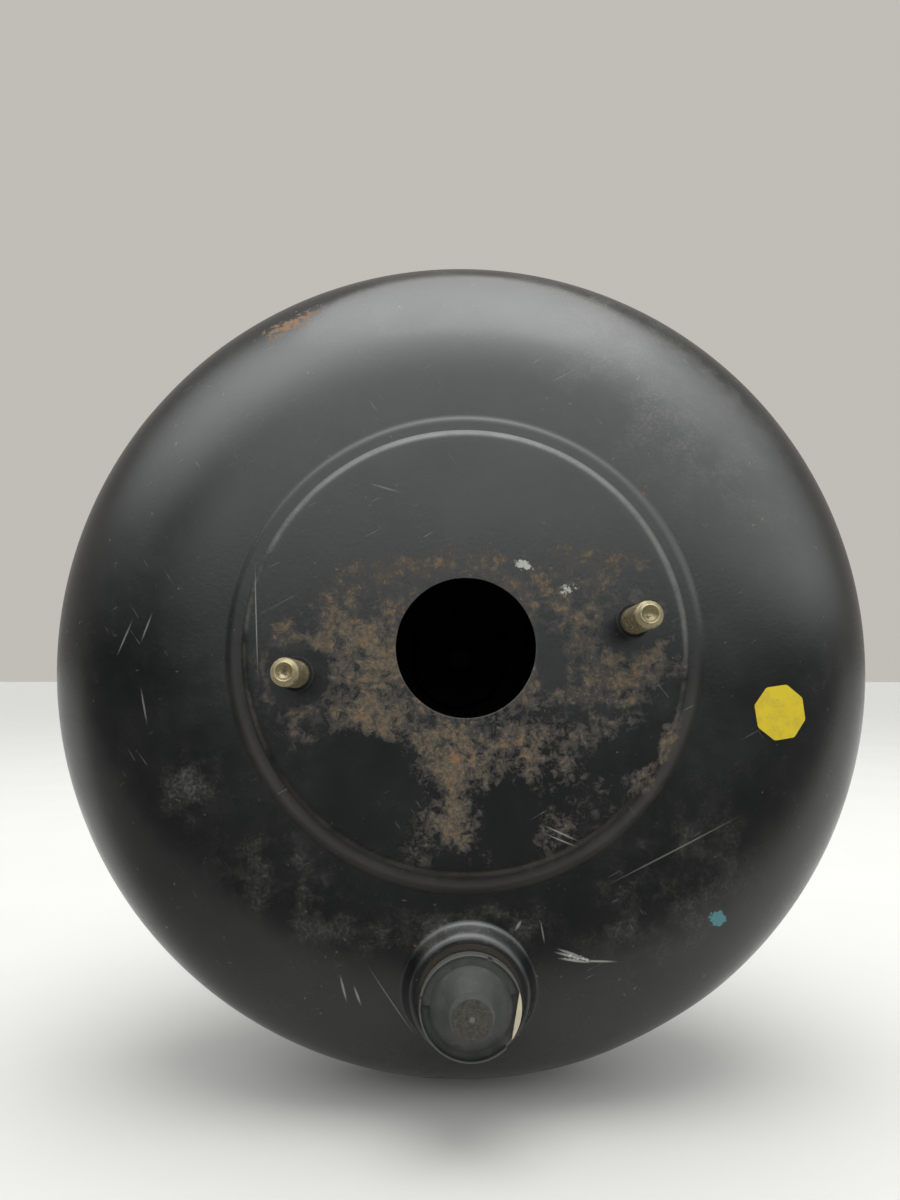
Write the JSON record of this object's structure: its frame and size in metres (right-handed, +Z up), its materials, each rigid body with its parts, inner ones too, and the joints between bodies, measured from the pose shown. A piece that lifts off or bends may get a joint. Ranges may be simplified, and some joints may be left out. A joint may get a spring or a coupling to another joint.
{
  "type": "vacuum brake booster",
  "caption": "Round vacuum brake booster: two crimped steel shells, bolting face and studs, check valve, valved power piston, dust boot and forked pedal rod.",
  "frame": {"origin": "centre of the bulkhead stud pattern, on the flat rear face that lies against the bulkhead", "axes": "+Y along the booster's axis towards the pedal, -Y towards the master cylinder, +Z up, vacuum port straight down"},
  "size_m": [0.2728, 0.2763, 0.2728],
  "materials": {
    "black_paint": "glossy black paint, scuffed",
    "yellow_zinc": "yellow passivated zinc",
    "steel": "plain steel",
    "dark_steel": "black phosphate",
    "rubber": "matt black rubber",
    "grey_plastic": "grey moulded nylon",
    "cream_plastic": "cream moulded nylon",
    "white_plastic": "natural nylon",
    "phenolic": "black phenolic moulding",
    "felt": "grey felt"
  },
  "bodies": {
    "housing": {"front_shell": "black_paint", "front_reinforcement_plate": "black_paint", "master_cylinder_studs": "yellow_zinc", "rear_shell": "black_paint", "rear_reinforcement_plate": "black_paint", "bulkhead_studs": "yellow_zinc", "rear_bearing_ring": "white_plastic", "rear_seal": "rubber", "seal_retainer_ring": "steel", "vacuum_grommet": "rubber", "check_valve_body": "cream_plastic", "check_valve_cap": "grey_plastic", "check_valve_spring": "steel", "dust_boot": "rubber"},
    "power_piston": {"valve_body": "phenolic", "stop_key": "steel", "reaction_disc": "rubber", "output_rod": "dark_steel", "output_rod_retainer": "dark_steel", "diaphragm_plate": "steel", "diaphragm": "rubber", "return_spring": "dark_steel", "poppet_retainer": "steel", "silencer": "felt", "air_filter": "felt", "filter_retainer": "white_plastic"},
    "air_valve": {"air_valve_plunger": "steel", "rod_return_spring": "steel"},
    "poppet": {"poppet_valve": "rubber", "poppet_spring": "steel"},
    "pedal_rod": {"input_rod": "yellow_zinc", "lock_nut": "yellow_zinc", "clevis": "yellow_zinc"},
    "check_valve_flap": {"check_valve_disc": "rubber"}
  },
  "joints": [
    {"name": "piston_slide", "type": "slide", "parent": "housing", "child": "power_piston", "axis": [0, -1, 0], "range_m": [0, 0.032], "stiffness_N_per_m": 4000, "springref_m": -0.03, "deforming": ["return_spring", "diaphragm", "dust_boot"]},
    {"name": "air_valve_slide", "type": "slide", "parent": "power_piston", "child": "air_valve", "axis": [0, -1, 0], "range_m": [0, 0.0018], "stiffness_N_per_m": 2000, "springref_m": -0.006, "deforming": ["rod_return_spring"]},
    {"name": "poppet_slide", "type": "slide", "parent": "power_piston", "child": "poppet", "axis": [0, -1, 0], "range_m": [0, 0.0006], "deforming": ["poppet_spring"]},
    {"name": "rod_swivel", "type": "hinge", "parent": "air_valve", "child": "pedal_rod", "pos_m": [0, 0.005, 0], "axis": [1, 0, 0], "range_deg": [-3, 3]},
    {"name": "check_valve_lift", "type": "slide", "parent": "housing", "child": "check_valve_flap", "axis": [0, -1, 0], "range_m": [0, 0.0015], "stiffness_N_per_m": 50, "springref_m": -0.002, "deforming": ["check_valve_spring"]}
  ],
  "couplings": [
    {"joint": "poppet_slide", "follows": "air_valve_slide", "ratio": 0.3333}
  ]
}
